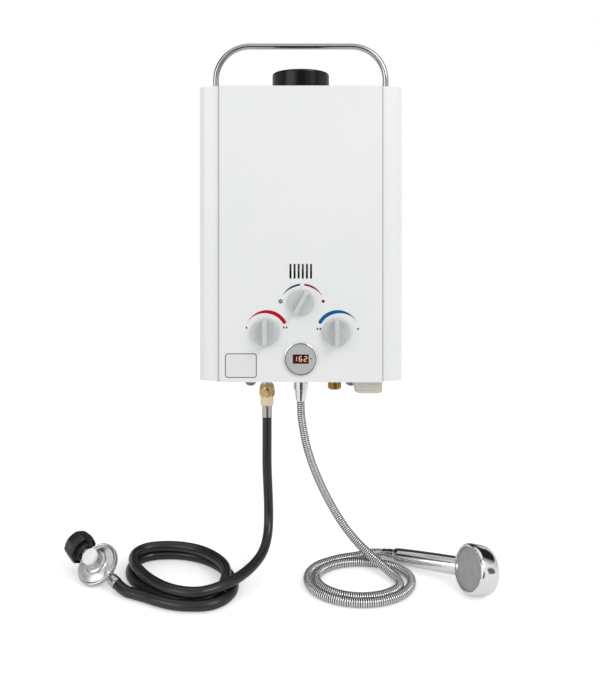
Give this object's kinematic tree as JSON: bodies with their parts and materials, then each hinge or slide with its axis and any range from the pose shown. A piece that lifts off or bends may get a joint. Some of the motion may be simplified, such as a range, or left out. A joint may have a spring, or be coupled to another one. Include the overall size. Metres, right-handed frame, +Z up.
{
  "type": "portable propane water heater",
  "caption": "Wall-hung outdoor tankless propane water heater with carry handle, knobs, read-out, gas hose with regulator, and shower hose with hand shower.",
  "frame": {"origin": "centre of the hanging hole in the rear panel's top tab, on the wall plane", "axes": "+Z up, -Y out of the front panel, +X to the right seen from the front"},
  "size_m": [0.6253, 0.2166, 0.8054],
  "materials": {
    "case_paint": "satin",
    "collar_enamel": "gloss",
    "stainless": "polished",
    "zinc_steel": "satin",
    "spindle_steel": "satin",
    "chrome": "polished",
    "chrome_hose": "polished",
    "rubber_hose": "satin",
    "brass": "machined",
    "copper": "satin",
    "cast_alloy": "cast",
    "battery_can": "satin",
    "knob_plastic": "satin",
    "face_plastic": "satin",
    "window_plastic": "gloss",
    "board": "satin",
    "black_plastic": "satin",
    "ivory_plastic": "satin",
    "white_plastic": "satin",
    "spray_plastic": "satin"
  },
  "bodies": {
    "heater": {"front_cover": "case_paint", "rear_panel": "case_paint", "top_plate": "case_paint", "bottom_plate": "case_paint", "case_screws": "stainless", "flue_collar": "collar_enamel", "flue_guard": "stainless", "flue_hood": "copper", "handle_brackets": "stainless", "handle_pins": "stainless", "display_bezel": "chrome", "display_face": "face_plastic", "display_window": "window_plastic", "display_board": "board", "combustion_chamber": "copper", "fin_block": "copper", "exchanger_tube": "copper", "burner_tray": "zinc_steel", "burner_blades": "zinc_steel", "gas_manifold": "cast_alloy", "ignition_box": "black_plastic", "electrodes": "spindle_steel", "overheat_switch": "black_plastic", "gas_valve": "cast_alloy", "gas_solenoid": "black_plastic", "water_valve": "brass", "diaphragm_cover": "cast_alloy", "cold_pipe": "copper", "hot_pipe": "copper", "gas_inlet": "zinc_steel", "cold_inlet": "brass", "hot_outlet": "brass", "battery_holder": "ivory_plastic", "battery_cells": "battery_can", "gas_hose_nut": "brass", "gas_hose_fitting": "brass", "gas_hose_ferrule": "stainless", "shower_hose_nut": "chrome", "shower_hose_cone": "chrome", "gas_hose_drop": "rubber_hose", "gas_hose_tail": "rubber_hose", "gas_hose_coil": "rubber_hose", "shower_hose_drop": "chrome_hose", "shower_hose_tail": "chrome_hose", "shower_hose_coil": "chrome_hose", "regulator_body": "cast_alloy", "regulator_bonnet": "white_plastic", "regulator_ferrule": "stainless", "hand_shower": "chrome", "spray_plate": "spray_plastic", "shower_end_nut": "chrome"},
    "handle": {"carry_handle": "stainless"},
    "gas_control": {"gas_knob": "knob_plastic", "gas_spindle": "spindle_steel"},
    "water_control": {"water_knob": "knob_plastic", "water_spindle": "spindle_steel"},
    "season_control": {"season_knob": "knob_plastic", "season_spindle": "spindle_steel"},
    "battery_door": {"battery_cover": "ivory_plastic"},
    "cylinder_nut": {"cylinder_nut": "black_plastic"}
  },
  "joints": [
    {"name": "handle_fold", "type": "hinge", "parent": "heater", "child": "handle", "pos_m": [0, -0.015, 0.002], "axis": [-1, 0, 0], "range_deg": [0, 90]},
    {"name": "gas_knob_turn", "type": "hinge", "parent": "heater", "child": "gas_control", "pos_m": [-0.052, -0.125, -0.3685], "axis": [0, -1, 0], "range_deg": [-72, 72]},
    {"name": "water_knob_turn", "type": "hinge", "parent": "heater", "child": "water_control", "pos_m": [0.052, -0.125, -0.3685], "axis": [0, -1, 0], "range_deg": [-72, 72]},
    {"name": "season_knob_turn", "type": "hinge", "parent": "heater", "child": "season_control", "pos_m": [0, -0.125, -0.325], "axis": [0, -1, 0], "range_deg": [-37, 95]},
    {"name": "battery_cover_hinge", "type": "hinge", "parent": "heater", "child": "battery_door", "pos_m": [0.1, -0.0262, -0.4615], "axis": [1, 0, 0], "range_deg": [0, 100]},
    {"name": "cylinder_nut_turn", "type": "hinge", "parent": "heater", "child": "cylinder_nut", "pos_m": [-0.32809, -0.10206, -0.69301], "axis": [-0.7411, 0.6291, 0.2345], "continuous": true}
  ]
}
